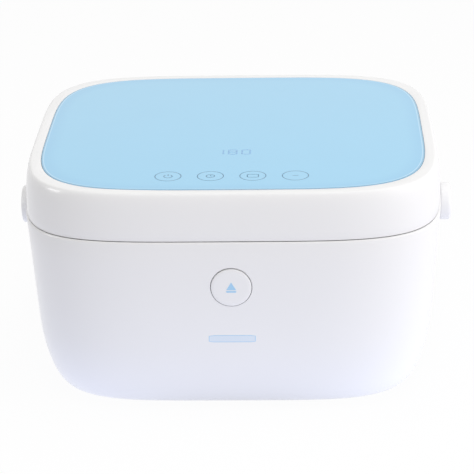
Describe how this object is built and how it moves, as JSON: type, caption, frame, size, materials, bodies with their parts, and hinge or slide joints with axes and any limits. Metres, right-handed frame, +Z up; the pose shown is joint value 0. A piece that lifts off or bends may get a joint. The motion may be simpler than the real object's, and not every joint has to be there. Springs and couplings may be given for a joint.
{
  "type": "ultraviolet sterilizer box",
  "caption": "Countertop ultraviolet sterilizer box with a hinged lid, push-button latch, reflective chamber, wire rack and folding carrying handle.",
  "frame": {"origin": "on the surface that the feet stand on, under the middle of the bounding box with the lid shut and the handle folded back", "axes": "+Z up; +X to the right seen from the front; the button and the front face -Y; the hinge is at +Y"},
  "size_m": [0.353, 0.3155, 0.1857],
  "materials": {
    "white_plastic": "glossy moulded white",
    "blue_panel": "polished pale blue, printed from behind",
    "grey_plastic": "matt moulded grey",
    "silicone": "translucent grey silicone",
    "rubber": "matt grey rubber",
    "steel": "bright drawn steel",
    "reflector": "polished reflective sheet",
    "spring_steel": "spring steel wire",
    "lamp_glass": "clear quartz-type glass",
    "circuit_board": "green solder mask",
    "lamp_board": "white-coated aluminium board",
    "dark_plastic": "matt black moulded"
  },
  "bodies": {
    "case": {"outer_case": "white_plastic", "base_cover": "white_plastic", "rim_frame": "white_plastic", "hinge_bracket": "white_plastic", "latch_bracket": "grey_plastic", "foot_1": "rubber", "foot_2": "rubber", "foot_3": "rubber", "foot_4": "rubber", "latch_pin": "steel", "hinge_pin": "steel", "pivot_screw_left": "steel", "pivot_screw_right": "steel", "pivot_nut_left": "steel", "pivot_nut_right": "steel", "base_screw_1": "steel", "base_screw_2": "steel", "base_screw_3": "steel", "base_screw_4": "steel", "latch_screw_1": "steel", "latch_screw_2": "steel", "hinge_screw_1": "steel", "hinge_screw_2": "steel", "chamber_liner": "reflector", "button_spring": "spring_steel", "latch_spring": "spring_steel", "torsion_spring_left": "spring_steel", "torsion_spring_right": "spring_steel", "base_window": "lamp_glass", "control_board": "circuit_board", "base_lamp_board": "lamp_board", "power_socket": "dark_plastic", "power_lead": "dark_plastic", "reed_switch": "dark_plastic"},
    "lid": {"lid_shell": "white_plastic", "lid_ring": "white_plastic", "lid_gasket": "silicone", "lid_screw_1": "steel", "lid_screw_2": "steel", "lid_screw_3": "steel", "lid_screw_4": "steel", "lid_reflector": "reflector", "lid_window": "lamp_glass", "lid_lamp_board": "lamp_board", "lid_magnet": "dark_plastic", "top_panel": "blue_panel", "touch_board": "circuit_board", "display_module": "dark_plastic", "striker": "steel"},
    "carry_handle": {"handle": "white_plastic", "pivot_cap_left": "white_plastic", "pivot_cap_right": "white_plastic"},
    "button": {"open_button": "white_plastic"},
    "latch": {"latch_lever": "grey_plastic", "catch_spring": "spring_steel"},
    "rack": {"wire_rack": "steel"}
  },
  "joints": [
    {"name": "lid_hinge", "type": "hinge", "parent": "case", "child": "lid", "pos_m": [0, 0.14839, 0.148], "axis": [-1, 0, 0], "range_deg": [0, 80], "deforming": ["torsion_spring_left", "torsion_spring_right", "catch_spring"]},
    {"name": "handle_swing", "type": "hinge", "parent": "case", "child": "carry_handle", "pos_m": [0, -0.00811, 0.122], "axis": [1, 0, 0], "range_deg": [0, 110]},
    {"name": "button_press", "type": "slide", "parent": "case", "child": "button", "axis": [0, 1, 0], "range_m": [0, 0.003], "stiffness_N_per_m": 400, "springref_m": -0.002, "deforming": ["button_spring"]},
    {"name": "latch_turn", "type": "hinge", "parent": "case", "child": "latch", "pos_m": [0, -0.13461, 0.124], "axis": [1, 0, 0], "range_deg": [0, 12.1], "deforming": ["latch_spring"]},
    {"name": "rack_lift", "type": "slide", "parent": "case", "child": "rack", "axis": [0, 0, 1], "range_m": [0, 0.1]}
  ],
  "couplings": [
    {"joint": "latch_turn", "follows": "button_press", "rad_per_m": 69.8}
  ]
}
